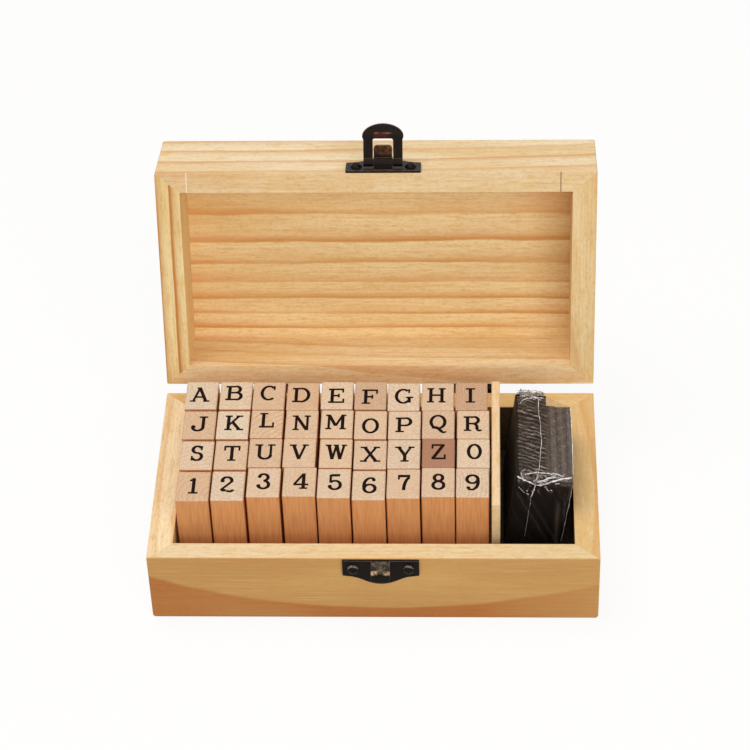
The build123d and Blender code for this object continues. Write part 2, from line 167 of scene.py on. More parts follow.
class Value:
    """A shader value whose sums and products add Math nodes to its tree."""

    def __init__(self, finish, output):
        self.finish = finish
        self.output = output

    def math(self, operation, *others):
        sockets = dict(enumerate((self, *others)))
        return self.finish.node("ShaderNodeMath", {"operation": operation}, sockets)

    def __add__(self, other):
        return self.math("ADD", other)

    def __mul__(self, other):
        return self.math("MULTIPLY", other)

    def __sub__(self, other):
        return self.math("SUBTRACT", other)

    def __truediv__(self, other):
        return self.math("DIVIDE", other)

    def __pow__(self, other):
        return self.math("POWER", other)

    def __neg__(self):
        return self * -1

    def __abs__(self):
        return self.math("ABSOLUTE")

    def __rsub__(self, other):
        return -self + other

    __radd__ = __add__
    __rmul__ = __mul__

    def step(self, low, high):
        """0 below low and 1 above high, with a smooth rise between, or falling if low is the larger."""
        settings = {"interpolation_type": "SMOOTHSTEP"}
        start, end, top = (low, high, (0, 1)) if low < high else (high, low, (1, 0))
        sockets = {"Value": self, "From Min": start, "From Max": end, "To Min": top[0], "To Max": top[1]}
        return self.finish.node("ShaderNodeMapRange", settings, sockets)

    def between(self, low, high, edge):
        """1 between low and high, with smooth edges just inside them."""
        return self.step(low, low + edge) * self.step(high, high - edge)


class Finish:
    """The node tree of a material or the world, with the shader that it ends in."""

    def __init__(self, name, kind="materials", shader="Principled BSDF"):
        self.owner = getattr(bpy.data, kind).new(name)
        self.owner.use_nodes = True
        self.tree = self.owner.node_tree
        self.shader = self.tree.nodes[shader]

    def node(self, kind, settings=None, sockets=None, output=0):
        """Adds a node, sets it up, then gives its sockets values or links, and returns one output."""
        made = self.tree.nodes.new(kind)
        for name, value in (settings or {}).items():
            if name == "stops":
                self.set_stops(made.color_ramp, value)
            else:
                setattr(made, name, value)
        for name, value in (sockets or {}).items():
            self.feed(made.inputs[name], value)
        return Value(self, made.outputs[output])

    def set_stops(self, ramp, stops):
        """Gives a ramp its (place, grey) stops."""
        while len(ramp.elements) < len(stops):
            ramp.elements.new(1.0)
        for element, (place, grey) in zip(ramp.elements, stops):
            element.position = place
            element.color = (grey, grey, grey, 1.0)

    def feed(self, socket, value):
        if isinstance(value, Value):
            self.tree.links.new(value.output, socket)
        else:
            socket.default_value = value

    def set(self, **sockets):
        """Sets the shader's sockets, with spaces in their names written as low lines."""
        for name, value in sockets.items():
            self.feed(self.shader.inputs[name.replace("_", " ")], value)
        return self

    def place(self, centre=(0.0, 0.0, 0.0), in_lid=False):
        """Object coordinates in millimetres from a centre, and for the lid in its closed place."""
        where = self.node("ShaderNodeTexCoord", output=3)
        turn = Matrix.Rotation(LID_ANGLE, 3, "X") if in_lid else Matrix.Identity(3)
        pivot = HINGE if in_lid else np.zeros(3)
        shift = PER_METRE * (pivot - np.array(turn) @ pivot) - PER_METRE * np.array(centre)
        sockets = {
            "Vector": where,
            "Location": tuple(shift),
            "Rotation": tuple(turn.to_euler()),
            "Scale": (PER_METRE,) * 3,
        }
        return self.node("ShaderNodeMapping", None, sockets)

    def parts(self, vector):
        """The three numbers of a vector."""
        made = self.tree.nodes.new("ShaderNodeSeparateXYZ")
        self.feed(made.inputs[0], vector)
        return [Value(self, output) for output in made.outputs]

    def vector(self, x, y, z):
        return self.node("ShaderNodeCombineXYZ", None, {0: x, 1: y, 2: z})

    def noise(self, vector, scale=1.0, detail=2.0, roughness=0.5):
        """Soft noise about 0.5."""
        sockets = {"Vector": vector, "Scale": scale, "Detail": detail, "Roughness": roughness}
        return self.node("ShaderNodeTexNoise", None, sockets)

    def mix(self, factor, first, second):
        """A colour between two colours."""
        ends = [value if isinstance(value, Value) else with_alpha(value) for value in (first, second)]
        sockets = {0: factor, 6: ends[0], 7: ends[1]}
        return self.node("ShaderNodeMix", {"data_type": "RGBA"}, sockets, output=2)

    def layer(self, colour, *tints):
        """A colour with tints laid over it in turn, each given as its share and its tone."""
        for share, tint in tints:
            colour = self.mix(share, colour, tint)
        return colour

    def ramp(self, value, stops):
        return self.node("ShaderNodeValToRGB", {"stops": stops}, {0: value})

    def bump(self, height, depth, strength=1.0, normal=None):
        """A normal from a height of 0 to 1 that stands for a depth in metres."""
        sockets = {"Height": height, "Distance": depth, "Strength": strength}
        if normal:
            sockets["Normal"] = normal
        return self.node("ShaderNodeBump", None, sockets)

    def backdrop(self):
        """1 where the camera sees a surface, directly, in a mirror or through glass, and 0 for its light."""
        rays = self.tree.nodes.new("ShaderNodeLightPath").outputs
        seen = [Value(self, rays[f"Is {kind} Ray"]) for kind in ("Camera", "Glossy", "Transmission")]
        return seen[0].math("MAXIMUM", seen[1]).math("MAXIMUM", seen[2])


def dress(node, finish):
    """Gives a CAD node one material in place of those that it has."""
    mesh = frame["nodes"][node].data
    mesh.materials.clear()
    mesh.materials.append(finish.owner)


# Meshes

def unit(vectors):
    """Vectors over their own lengths."""
    return vectors / np.linalg.norm(vectors, axis=-1, keepdims=True)


def tube_faces(rings, around):
    """Four-cornered faces between each ring of points and the next, as a tube's wall."""
    row = np.arange(rings - 1)[:, None] * around
    here = np.arange(around)[None, :]
    after = (here + 1) % around
    corners = (row + here, row + after, row + around + after, row + around + here)
    return np.stack(corners, axis=-1).reshape(-1, 4)


def closed_tube(rings, around):
    """A tube's wall and its two flat ends."""
    ring = np.arange(around)
    return tube_faces(rings, around), np.stack((ring[::-1], (rings - 1) * around + ring))


def joined(parts):
    """One mesh of several, each given as its points and its arrays of faces."""
    verts, faces, total = [], [], 0
    for points, groups in parts:
        verts.append(points)
        for group in groups:
            faces += (group + total).tolist()
        total += len(points)
    return np.concatenate(verts), faces


def in_scene(name, data):
    """A new object with this data, linked to the scene."""
    made = bpy.data.objects.new(name, data)
    bpy.context.scene.collection.objects.link(made)
    return made


def new_piece(name, verts, faces, finish, haze=None):
    """A mesh object at the origin, with its place in its mesh. Film, which has haze and painted sheen, is
    shaded smooth.
    """
    mesh = bpy.data.meshes.new(name)
    mesh.from_pydata(verts.tolist(), [], faces)
    mesh.polygons.foreach_set("use_smooth", np.full(len(faces), haze is not None))
    mesh.materials.append(finish.owner)
    mesh.update()
    if haze is not None:
        mesh.attributes.new("haze", "FLOAT", "POINT").data.foreach_set("value", haze)
    return in_scene(name, mesh)


# Pine: rings round a pith line that runs along each board, seen wherever the board's faces cut them

RING_STOPS = ((0.0, 0.0), (0.35, 0.05), (0.7, 0.34), (0.9, 0.95), (0.97, 0.8), (1.0, 0.0))
BAND_STOPS = ((0.0, 0.0), (0.52, 0.06), (0.62, 0.62), (0.85, 0.8), (0.975, 0.95), (1.0, 0.0))
X, Y, Z = 0, 1, 2

# For each board, in millimetres: the axis along its grain, the axis that its rings are counted on and the
# one through them, the pith's place on these last two, the rings' width, their count at the start, their
# strength, how far they bow along the grain, per millimetre squared, the middle of the bow, and how they
# crowd together away from the middle. Then the board's pale tone, its outside's tone where that is darker,
# which is partly the wood's own orange and partly painted shade of that side face, its rings' tone where that
# isn't the usual one, and how dark a ring is from its start to its end.
Grain = namedtuple(
    "Grain",
    "along counted through pith depth width start strength bow middle crowd pale skin band stops",
    defaults=(0.0, 0.0, 0.0, None, None, None, RING_STOPS),
)
BOARD_GRAIN = {
    "base_front_wall": Grain(
        X, Z, Y, -200.0, -45.7, 56.0, 0.295, 1.8, 0.0020, 5.0, 0.0, tone(232, 213, 172),
        tone(200, 152, 90), tone(182, 112, 54), BAND_STOPS,
    ),
    "base_back_wall": Grain(X, Z, Y, -90.0, 20.0, 9.0, 0.3, 0.45, 0.0002, 20.0, 0.0, tone(230, 198, 140)),
    "base_left_wall": Grain(Y, X, Z, -200.0, 0.0, 6.5, 0.2, 0.4, 0.0006, 0.0, 0.0, tone(248, 230, 190)),
    "base_right_wall": Grain(Y, X, Z, 180.0, 0.0, 11.0, 0.7, 0.5, -0.002, -5.0, 0.0, tone(224, 190, 134)),
    "base_floor": Grain(X, Y, Z, -30.0, -20.0, 7.0, 0.3, 0.6, 0.0001),
    "divider": Grain(Y, Z, X, -60.0, 0.0, 5.0, 0.3, 0.25, 0.0002, 0.0, 0.0, tone(238, 210, 168)),
    "lid_front_wall": Grain(X, Z, Y, -70.0, -30.0, 9.8, 0.1, 0.75, 0.00025, -70.0, 0.0, tone(246, 228, 190)),
    "lid_back_wall": Grain(X, Z, Y, 120.0, 10.0, 8.2, 0.55, 0.6, 0.0004, 60.0, 0.0, tone(248, 228, 184)),
    "lid_left_wall": Grain(
        Y, X, Z, 40.0, 33.3, 5.6, 0.59, 1.3, 0.0001, 0.0, 0.0, tone(250, 230, 172), None, tone(196, 126, 58)
    ),
    "lid_right_wall": Grain(Y, X, Z, -60.0, 0.0, 14.0, 0.2, 0.4, 0.0015, -30.0, 0.0, tone(238, 212, 160)),
    "lid_top_board": Grain(X, Y, Z, -400.0, 51.0, 9.43, 0.112, 1.0, 0.0, 0.0, 0.00086, tone(250, 222, 166)),
}

# The most that a ring's width, in millimetres, counts for in how far it wanders
WIDEST_SWAY = 10.0

# The ink pad's bay, whose inner faces are coloured dark as painted shade for the deep shadow in it, in
# millimetres: from its left, front and floor to its right, back and rim. Then how soft the painted shade's
# edge is.
PAINTED_SHADE_BAY = ((47.7, -37.85, 0.0), (75.65, 37.85, 32.8))
BAY_EDGE = 0.08
# The boards that carry the bay's painted shade, and its dark tone
PAINTED_SHADE_BOARDS = ("base_front_wall", "base_back_wall", "base_right_wall", "base_floor", "divider")
PAINTED_SHADE_TONE = tone(34, 22, 14)

# Seams across the rim of the lid's front board, in millimetres along it, and whether each is dark
LID_SEAMS = ((-72.7, False), (70.9, True))
LID_RIM = 34.2


def inside_bay(axes):
    """1 on the faces of the ink pad's bay, and 0 elsewhere."""
    mask = 1
    for axis, low, high in zip(axes, *PAINTED_SHADE_BAY):
        mask = axis.between(low, high, BAY_EDGE) * mask
    return mask


def lid_seams(finish, colour, axes):
    """Thin lines across the rim of the lid's front board, where its lengths were joined."""
    rim = axes[Z].step(LID_RIM, LID_RIM - 0.4)
    for place, dark in LID_SEAMS:
        line = abs(axes[X] - place).step(0.35, 0.15) * rim
        colour = finish.mix(line * 0.7, colour, tone(120, 84, 48) if dark else tone(250, 240, 214))
    return colour


def pine(board, grain, seed):
    """Pine for one board. Ring count is the distance from the pith over the ring's width."""
    wood = look("pine")
    finish = Finish(f"pine {board}")
    axes = finish.parts(finish.place(in_lid=board.startswith("lid")))
    s, u, v = axes[grain.along], axes[grain.counted], axes[grain.through]

    def fibrous(along, across, detail, roughness=0.5, start=(0, 0, seed)):
        """Noise with one scale along the grain and another across it."""
        spot = finish.vector(s * along + start[0], u * across + start[1], v * across + start[2])
        return finish.noise(spot, detail=detail, roughness=roughness)

    sway = min(grain.width, WIDEST_SWAY)
    wander = (fibrous(0.014, 0.05, 2.0, start=(seed, 0, 0)) - 0.5) * sway * 0.4
    ripple = (fibrous(0.05, 0.2, 3.0) - 0.5) * sway * 0.12
    arched = u - grain.pith - grain.bow * (s - grain.middle) ** 2 + wander + ripple
    away = (arched * arched + (v - grain.depth) * (v - grain.depth)) ** 0.5
    rings = away / grain.width + grain.crowd * u * u + grain.start
    uneven = finish.noise(finish.vector(s * 0.008, rings * 0.8, seed), detail=1.0)
    late = finish.ramp(rings.math("FRACT"), grain.stops)
    late = late * (uneven.step(0.3, 0.62) * 0.6 + 0.4) * grain.strength
    fibres = fibrous(0.06, 2.0, 4.0, 0.65, (0, 0, 0))
    streaks = fibrous(0.02, 1.1, 3.0, 0.6)
    flecks = fibrous(0.16, 3.6, 1.0).step(0.66, 0.78)
    patches = fibrous(0.012, 0.06, 2.0, start=(0, seed, 0))
    nap = fibrous(0.5, 1.1, 5.0, 0.8)
    mottle = fibrous(0.14, 0.7, 4.0, 0.7)
    pale = grain.pale or wood.early
    sanded = 1.0
    # The outside face takes a darker, oranger tone: partly the wood's own orange, partly painted shade of
    # that side
    if grain.skin:
        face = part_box(board)[0][grain.through] * PER_METRE
        outside = v.step(face + 0.7, face + 0.3)
        late = late * (outside * 0.75 + 0.25) * (s.step(70, 0) * 0.5 + 0.5)
        sanded = 1 - outside * 0.85
        lines = finish.noise(finish.vector(s * 0.03, u * 1.6, seed), detail=3.0, roughness=0.6)
        lines = lines.step(0.5, 0.3) * outside * 0.8
        pale = finish.layer(pale, (outside, grain.skin), (lines, tone(214, 176, 116)))
    colour = finish.layer(
        pale,
        (patches.step(0.38, 0.75) * 0.55, wood.warm),
        (mottle.step(0.48, 0.66) * sanded * 0.5, wood.warm),
        (mottle.step(0.48, 0.3) * sanded * 0.3, wood.dust),
        (streaks.step(0.45, 0.75) * 0.22, wood.late),
        (late * (0.7 + 0.5 * streaks), grain.band or wood.late),
        (fibres.step(0.42, 0.8) * 0.3, wood.late),
        (flecks * 0.3, tone(150, 96, 52)),
        (nap.step(0.47, 0.74) * 0.45, tone(196, 144, 82)),
        (nap.step(0.48, 0.2) * sanded * 0.24, wood.dust),
    )
    if board == "lid_top_board":
        # Warmer, darker orange at the panel's left end and its top-right corner with the lid open: partly the
        # wood's own orange, partly painted shade cast by the lid's walls
        ends = s.step(-40, -78) * late.step(0.05, 0.4) + s.step(40, 76) * u.step(-4, -34)
        colour = finish.mix(ends * 0.4, colour, tone(226, 150, 84))
    if board == "lid_front_wall":
        colour = lid_seams(finish, colour, axes)
    # Painted shade: the bay's inner faces are coloured nearly black for the deep shadow between the divider
    # and the pad
    if board in PAINTED_SHADE_BOARDS:
        colour = finish.mix(inside_bay(axes) * (0.85 + 0.15 * nap), colour, PAINTED_SHADE_TONE)
    return finish.set(
        Base_Color=colour,
        Roughness=0.1 * fibres + wood.roughness,
        Normal=finish.bump(fibres * 0.4 + nap * 0.4 + late * 0.2, 0.07 * MM, 0.6),
        Specular_IOR_Level=0.3,
    )


# Stamps

# Stamps that differ, in shares: how red their wood is, how strong the rings on their ends are, and how warm
# the ends' tone is. Then one whose pith is near: its direction, and in millimetres its distance and the
# rings' width.
RED_SHARES = {"z": 0.85, "f": 0.3, "j": 0.15, "1": 0.08, "i": 0.3, "q": 0.15, "d": 0.15, "c": 0.15, "u": 0.1}
STRONG_RINGS = {"i": 0.9, "9": 0.5, "l": 0.6, "1": 0.5, "z": 0.35}
WARM_SHARES = {
    "c": 0.45, "d": 0.6, "l": 0.5, "1": 0.65, "j": 0.5, "u": 0.45, "3": 0.35, "a": 0.0, "k": 0.0, "2": 0.05,
}
NEAR_PITH = {"i": (0.9, 4.0, 1.15)}
END_STOPS = ((0.0, 0.05), (0.6, 0.35), (0.92, 1.0), (1.0, 0.0))
RUBBER_HEIGHT = 2.5


def stamp_wood(name, seed):
    """A handle's wood on a rubber die: rings round a distant pith show on the end, fibres on the sides."""
    wood = look("stamps")
    low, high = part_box(f"stamp_{name}")
    finish = Finish(f"stamp wood {name}")
    centre = (low + high) / 2
    x, y, z = finish.parts(finish.place((centre.x, centre.y, low.z)))
    tall = (high.z - low.z) / MM
    draw = np.random.default_rng(seed)
    turn = draw.uniform(0, 2 * math.pi)
    reach = draw.uniform(9, 30)
    width = draw.uniform(1.3, 2.4)
    turn, reach, width = NEAR_PITH.get(name, (turn, reach, width))
    wander = finish.noise(finish.vector(x * 0.12 + seed, y * 0.12, z * 0.02)) - 0.5
    away = ((x - reach * math.cos(turn)) ** 2 + (y - reach * math.sin(turn)) ** 2) ** 0.5
    late = finish.ramp(((away + wander * 2.5) / width).math("FRACT"), END_STOPS)
    fibres = finish.noise(finish.vector(x * 2.6, y * 2.6, z * 0.09 + seed), detail=4.0, roughness=0.6)
    grain = finish.noise(finish.vector(x * 1.7, y * 1.7, z * 1.7), detail=4.0, roughness=0.7)
    is_end = z.step(tall - 0.45, tall - 0.3)
    is_wood = z.step(RUBBER_HEIGHT, RUBBER_HEIGHT + 0.08)
    red = RED_SHARES.get(name, draw.uniform(0.0, 0.1))
    shade = draw.uniform(0.0, 0.35)
    strong = STRONG_RINGS.get(name, draw.uniform(0.1, 0.32))
    warm = WARM_SHARES.get(name, draw.uniform(0.05, 0.45))
    side = finish.mix(fibres.step(0.3, 0.8) * 0.75 + late * 0.12 + 0.12 * shade, wood.side, wood.side_dark)
    pale = finish.mix(warm, wood.end, tone(224, 178, 132))
    end = finish.mix(late * strong + grain.step(0.4, 0.66) * 0.6 + 0.3 * shade, pale, wood.end_dark)
    handle = finish.layer(side, (is_end, end), (red, wood.red))
    return finish.set(
        Base_Color=finish.mix(is_wood, wood.rubber, handle),
        Roughness=0.12 * fibres + 0.5,
        Normal=finish.bump(fibres * 0.5 + grain * 0.5, 0.03 * MM, 0.5),
        Specular_IOR_Level=0.35,
    )


# Printed letters, drawn as strokes in hundredths of a capital's height, with the foot of the letter at 0.
# A bar has two ends and a weight. A bow has a centre, two radii, its first and last angle, and its heaviest
# and lightest weight. A foot is a serif across the end of a stem, with its centre, half width and place.

CAPITAL = 100
HEAVY = 15.8
LIGHT = 11.6
SERIF = 10
TICK = 8.8
LOW_LINE = LIGHT / 2
HIGH_LINE = CAPITAL - LIGHT / 2
BOW_POINTS = 28
DOT_POINTS = 20


def bar(x0, y0, x1, y1, weight=HEAVY):
    return np.array(((x0, y0), (x1, y1))), np.array((weight, weight))


def bow(x, y, wide, tall, first, last, heavy=HEAVY, light=LIGHT, count=BOW_POINTS):
    """An arc that is heavy where it runs upright and light where it runs level."""
    angles = np.radians(np.linspace(first, last, count))
    points = np.stack((x + wide * np.cos(angles), y + tall * np.sin(angles)), axis=1)
    return points, light + (heavy - light) * np.abs(np.cos(angles))


def foot(x, half=16, y=SERIF / 2):
    return bar(x - half, y, x + half, y, SERIF)


def head(x, half=16):
    return foot(x, half, CAPITAL - SERIF / 2)


def dot(x, y, radius):
    """A round end, drawn as a bow whose weight fills it."""
    return bow(x, y, radius / 2, radius / 2, 0, 360, radius, radius, DOT_POINTS)


def stem(x, low=0, high=CAPITAL, weight=HEAVY):
    return bar(x, low, x, high, weight)


def level(x0, x1, y, weight=LIGHT):
    return bar(x0, y, x1, y, weight)


GLYPHS = {
    "a": [bar(-32, 0, -3, 98, LIGHT), bar(-5, 98, 30, 0), level(-20, 20, 33), foot(-33, 14), foot(31, 15),
          level(-17, 2, HIGH_LINE, SERIF)],
    "b": [stem(-20), level(-38, 10, HIGH_LINE), level(-20, 12, 53), level(-38, 12, LOW_LINE),
          bow(9, 75, 20, 21.5, 90, -90), bow(12, 28.5, 23, 24.5, 90, -90)],
    "c": [bow(2, 50, 32, 46, 48, 312), stem(27, 70, 98, TICK)],
    "d": [stem(-22), level(-40, 2, HIGH_LINE), level(-40, 2, LOW_LINE), bow(0, 50, 36, 46, 90, -90)],
    "e": [stem(-19), level(-37, 32, HIGH_LINE), level(-37, 35, LOW_LINE), level(-19, 12, 51),
          stem(31, 72, 100, TICK), stem(34, 0, 30, TICK), stem(12, 38, 64, TICK)],
    "f": [stem(-19), level(-37, 34, HIGH_LINE), level(-19, 12, 49), foot(-17, 20), stem(33, 70, 100, TICK),
          stem(12, 36, 62, TICK)],
    "g": [bow(-2, 50, 32, 46, 50, 318), stem(25, 72, 98, TICK), stem(26, 6, 42), foot(28, 17, 42)],
    "h": [stem(-26), stem(26), level(-26, 26, 51), foot(-27), foot(27), head(-27), head(27)],
    "i": [stem(0), foot(0, 22), head(0, 22)],
    "j": [stem(14, 27, 100), head(14, 20), bow(-10, 27, 24, 23.5, 0, -170), dot(-31, 29, 11)],
    "k": [stem(-25), foot(-25, 17), head(-25, 17), bar(-20, 38, 24, 97, LIGHT), head(25), bar(-7, 56, 28, 3),
          foot(30)],
    "l": [stem(-15), head(-14, 19), level(-34, 33, LOW_LINE), stem(31, 0, 36, TICK)],
    "m": [stem(-32, 0, 100, LIGHT), stem(32), bar(-32, 98, 0, 24), bar(0, 24, 32, 98, LIGHT), foot(-33, 14),
          foot(33, 15), head(-37, 10), head(37, 11)],
    "n": [stem(-25, 0, 100, LIGHT), stem(27, 0, 100, LIGHT), bar(-27, 98, 25, 2), foot(-26, 15),
          head(-30, 13), head(27, 15)],
    "o": [bow(0, 50, 32, 45.5, 0, 360)],
    "p": [stem(-19), level(-37, 10, HIGH_LINE), level(-19, 10, 46), foot(-17, 20),
          bow(9, 71, 24, 25, 90, -90)],
    "q": [bow(0, 53, 32, 43, 0, 360), bow(-10, 6, 14, 13, 170, 60, LIGHT), bar(-4, 17, 19, -13),
          bow(26, -9, 9, 8, 200, 360, LIGHT)],
    "r": [stem(-24), level(-42, 4, HIGH_LINE), level(-24, 4, 50), foot(-24, 17), bow(4, 73, 22, 23, 90, -90),
          bow(0, 26, 20, 24, 80, 0), bow(30, 15, 10, 12, 180, 330, LIGHT), stem(20, 13, 27)],
    "s": [bow(0, 74, 20, 22, 25, 270), bow(0, 28, 22, 24, 90, -155), stem(20, 70, 98, TICK),
          stem(-22, 2, 32, TICK)],
    "t": [stem(0), foot(0, 19), level(-36, 36, HIGH_LINE), stem(-33, 68, 100, TICK),
          stem(33, 68, 100, TICK)],
    "u": [stem(-26, 28, 100), stem(26, 28, 100, LIGHT), bow(0, 29, 26, 25, 180, 360), head(-29, 18),
          head(29, 17)],
    "v": [bar(-28, 98, 0, 3), bar(0, 3, 27, 98, LIGHT), head(-29), head(28, 14)],
    "w": [bar(-36, 98, -18, 3), bar(-18, 3, 0, 98, LIGHT), bar(0, 98, 18, 3), bar(18, 3, 35, 98, LIGHT),
          head(-37, 14), head(-2, 12), head(36, 12)],
    "x": [bar(-28, 98, 28, 2), bar(27, 98, -28, 2, LIGHT), foot(-30), foot(31), head(-30), head(29, 15)],
    "y": [bar(-30, 98, 0, 42), bar(28, 98, 0, 42, LIGHT), stem(0, 0, 44), foot(0, 19), head(-31, 15),
          head(30, 14)],
    "z": [level(-29, 28, HIGH_LINE), level(-30, 31, LOW_LINE), bar(24, 96, -26, 4), stem(-27, 70, 100, TICK),
          stem(30, 0, 32, TICK)],
    "0": [bow(0, 50, 27, 45.5, 0, 360)],
    "1": [stem(2), foot(2, 22), bow(-16, 102, 17, 17, 270, 345, LIGHT)],
    "2": [bow(0, 73, 22, 23, 168, -20), bar(21, 66, -25, 13, LIGHT), dot(-20, 72, 10),
          bow(-12, -8, 16, 20, 130, 50, HEAVY, HEAVY), bow(14, 16, 15, 12, 220, 360)],
    "3": [bow(-1, 75, 20, 21.5, 155, -90), bow(0, 28, 24, 24.5, 90, -160), dot(-19, 80, 9),
          dot(-22, 21, 10)],
    "4": [bar(10, 98, -31, 30, LIGHT), level(-34, 34, 29), stem(11), foot(11, 18)],
    "5": [level(-18, 22, 94, HEAVY), stem(-20, 46, 98, LIGHT), bow(0, 31, 25, 27.5, 142, -160),
          dot(-22, 22, 10)],
    "6": [bow(4, 46, 30, 50, 62, 200), bow(0, 29, 25, 25.5, 0, 360), dot(18, 84, 9)],
    "7": [level(-24, 26, 93, HEAVY), stem(-25, 70, 100, TICK), bow(36, 2, 38, 88, 180, 108)],
    "8": [bow(0, 76, 19, 20.5, 0, 360), bow(0, 28, 24.5, 24.5, 0, 360)],
    "9": [bow(-4, 54, 30, 50, 242, 380), bow(0, 71, 25, 25.5, 0, 360), dot(-18, 16, 9)],
}

# How far each print sits from the middle of its stamp, in tenths of a millimetre to the right and to the back
PRINT_SHIFTS = (
    ((-6, 2), (-7, 12), (-5, 14), (-6, 6), (-3, -4), (-3, -8), (1, 1), (-6, 6), (-4, 3)),
    ((0, 4), (5, 9), (-1, 19), (-1, 6), (-4, 10), (0, -8), (-2, 0), (-1, 1), (-1, 2)),
    ((1, 9), (3, 7), (0, 3), (-2, 2), (1, 5), (1, 0), (3, -2), (0, 5), (4, 7)),
    ((2, 0), (-2, 6), (0, 4), (6, 1), (4, 4), (3, -2), (3, 4), (1, 0), (0, -1)),
)


# How much taller each stroke of a letter is than the one before, so that no tops coincide
TOP_STEP = 0.04


def stroke_prism(points, weights, thick):
    """A flat stroke as a prism: each point moves to both sides by half the weight, square to the path."""
    ahead = unit(np.gradient(points, axis=0))
    aside = np.stack((-ahead[:, 1], ahead[:, 0]), axis=1) * weights[:, None] / 2
    right, left = points - aside, points + aside
    sides = ((right, 0), (left, 0), (left, thick), (right, thick))
    corners = [np.column_stack((rim, np.full(len(rim), height))) for rim, height in sides]
    return np.stack(corners, axis=1).reshape(-1, 3), closed_tube(len(points), len(sides))


def glyph_mesh(name, size, thick):
    """All strokes of a letter as prisms, about its middle."""
    scale = size / CAPITAL
    verts, faces = joined(
        stroke_prism(points * scale, weights * scale, thick + index * thick * TOP_STEP)
        for index, (points, weights) in enumerate(GLYPHS[name])
    )
    verts[:, :2] -= (verts[:, :2].min(axis=0) + verts[:, :2].max(axis=0)) / 2
    return verts, faces


def stamp_names():
    """Each stamp's row, column and name."""
    return [(row, column, name) for row, names in enumerate(STAMP_ROWS) for column, name in enumerate(names)]


def ink_finish():
    finish = Finish("printing ink")
    mottle = finish.noise(finish.place(), scale=3.0, detail=3.0)
    colour = finish.mix(mottle.step(0.6, 0.9) * 0.3, look("stamps").ink, tone(60, 44, 36))
    return finish.set(Base_Color=colour, Roughness=0.2 * mottle + 0.7, Specular_IOR_Level=0.08)


def rubber_finish():
    finish = Finish("rubber relief")
    dust = finish.noise(finish.place(), scale=1.5, detail=4.0)
    colour = finish.mix(dust.step(0.4, 0.8) * 0.3, look("stamps").rubber, tone(180, 120, 100))
    return finish.set(Base_Color=colour, Roughness=0.15 * dust + 0.65)


# Bronze

EDGE_RADIUS = 0.28 * MM
EDGE_SAMPLES = 6


def bronze(name, wear_and_light=None, bare=0.8):
    """Dark patina over copper, rubbed bright on edges and in soft patches, with the wear and painted light
    that a function adds.
    """
    metal = look("metal")
    finish = Finish(f"bronze {name}")
    spot = finish.place()
    blotch = finish.noise(spot, scale=0.45, detail=4.0, roughness=0.6)
    grit = finish.noise(spot, scale=4.0, detail=3.0)
    rounded = finish.node("ShaderNodeBevel", {"samples": EDGE_SAMPLES}, {"Radius": EDGE_RADIUS})
    flat = finish.node("ShaderNodeNewGeometry", output=3)
    turn = finish.node("ShaderNodeVectorMath", {"operation": "DOT_PRODUCT"}, {0: rounded, 1: flat}, output=1)
    edge = (1 - turn).step(0.015, 0.2) * (blotch * 0.7 + 0.35)
    rubbed = blotch.step(0.6, 0.95) * 0.5
    colour = finish.mix(rubbed, metal.dark, tone(74, 54, 40))
    # The function may paint highlights and reflections as well as wear
    if wear_and_light:
        colour = wear_and_light(finish, colour, blotch, finish.parts(spot), finish.parts(flat))
    colour = finish.mix(edge * bare, colour, metal.bright)
    finish.set(
        Base_Color=colour,
        Metallic=0.92,
        Roughness=0.16 * blotch + 0.14 * grit + (metal.roughness - 0.1),
        Normal=finish.bump(grit, 0.03 * MM, 0.4, rounded),
    )
    return finish


# Ink pad and its film

def plastic_finish():
    pad = look("pad")
    finish = Finish("black plastic")
    grit = finish.noise(finish.place(), scale=2.2, detail=3.0)
    return finish.set(
        Base_Color=finish.mix(grit.step(0.5, 0.8) * 0.2, pad.plastic, tone(52, 46, 44)),
        Roughness=0.15 * grit + 0.38,
        Normal=finish.bump(grit, 0.02 * MM, 0.3),
        Specular_IOR_Level=0.12,
    )


def felt_finish():
    finish = Finish("inked felt")
    nap = finish.noise(finish.place(), scale=6.0, detail=4.0)
    colour = finish.mix(nap, look("pad").felt, tone(38, 38, 46))
    return finish.set(Base_Color=colour, Roughness=0.9, Normal=finish.bump(nap, 0.2 * MM, 0.6))


def film_finish():
    """Clear film: its haze and painted sheen, kept on the mesh, is what is seen of it. Folds are nearly
    white.
    """
    pad = look("pad")
    finish = Finish("clear film")
    haze = finish.node("ShaderNodeAttribute", {"attribute_name": "haze"}, output=2)
    specks = finish.noise(finish.place(), scale=1.4, detail=4.0, roughness=0.7)
    seen = haze * (specks.step(0.25, 0.75) * 0.9 + 0.55)
    finish.set(
        Base_Color=finish.mix(haze.step(0.6, 0.92), pad.film, pad.crease),
        Roughness=0.14,
        Alpha=seen.math("MINIMUM", 1.0),
        Normal=finish.bump(specks, 0.12 * MM, 0.5),
    )
    return finish


# Points that a section is worked out with before it is read again at even places
PATH_STEPS = 4001


def rounded(first, last, power):
    """The cosine and sine of a squared-off circle: |x|^power + |y|^power = 1."""
    angles = np.linspace(first, last, PATH_STEPS)
    return [np.sign(value) * np.abs(value) ** (2 / power) for value in (np.cos(angles), np.sin(angles))]


def evenly(x, y, count, closed=False):
    """A path's points, read again at places evenly spaced along it."""
    length = np.concatenate(([0], np.cumsum(np.hypot(np.diff(x), np.diff(y)))))
    places = np.linspace(0, length[-1], count, endpoint=not closed)
    return np.interp(places, length, x), np.interp(places, length, y)


def rise(value, low, high):
    """0 below low and 1 above high, with a smooth rise between."""
    share = np.clip((value - low) / (high - low), 0, 1)
    return share * share * (3 - 2 * share)


def hump(value, middle, width, power=2):
    """1 at the middle, falling to nothing on both sides."""
    return np.exp(-(((value - middle) / width) ** power))


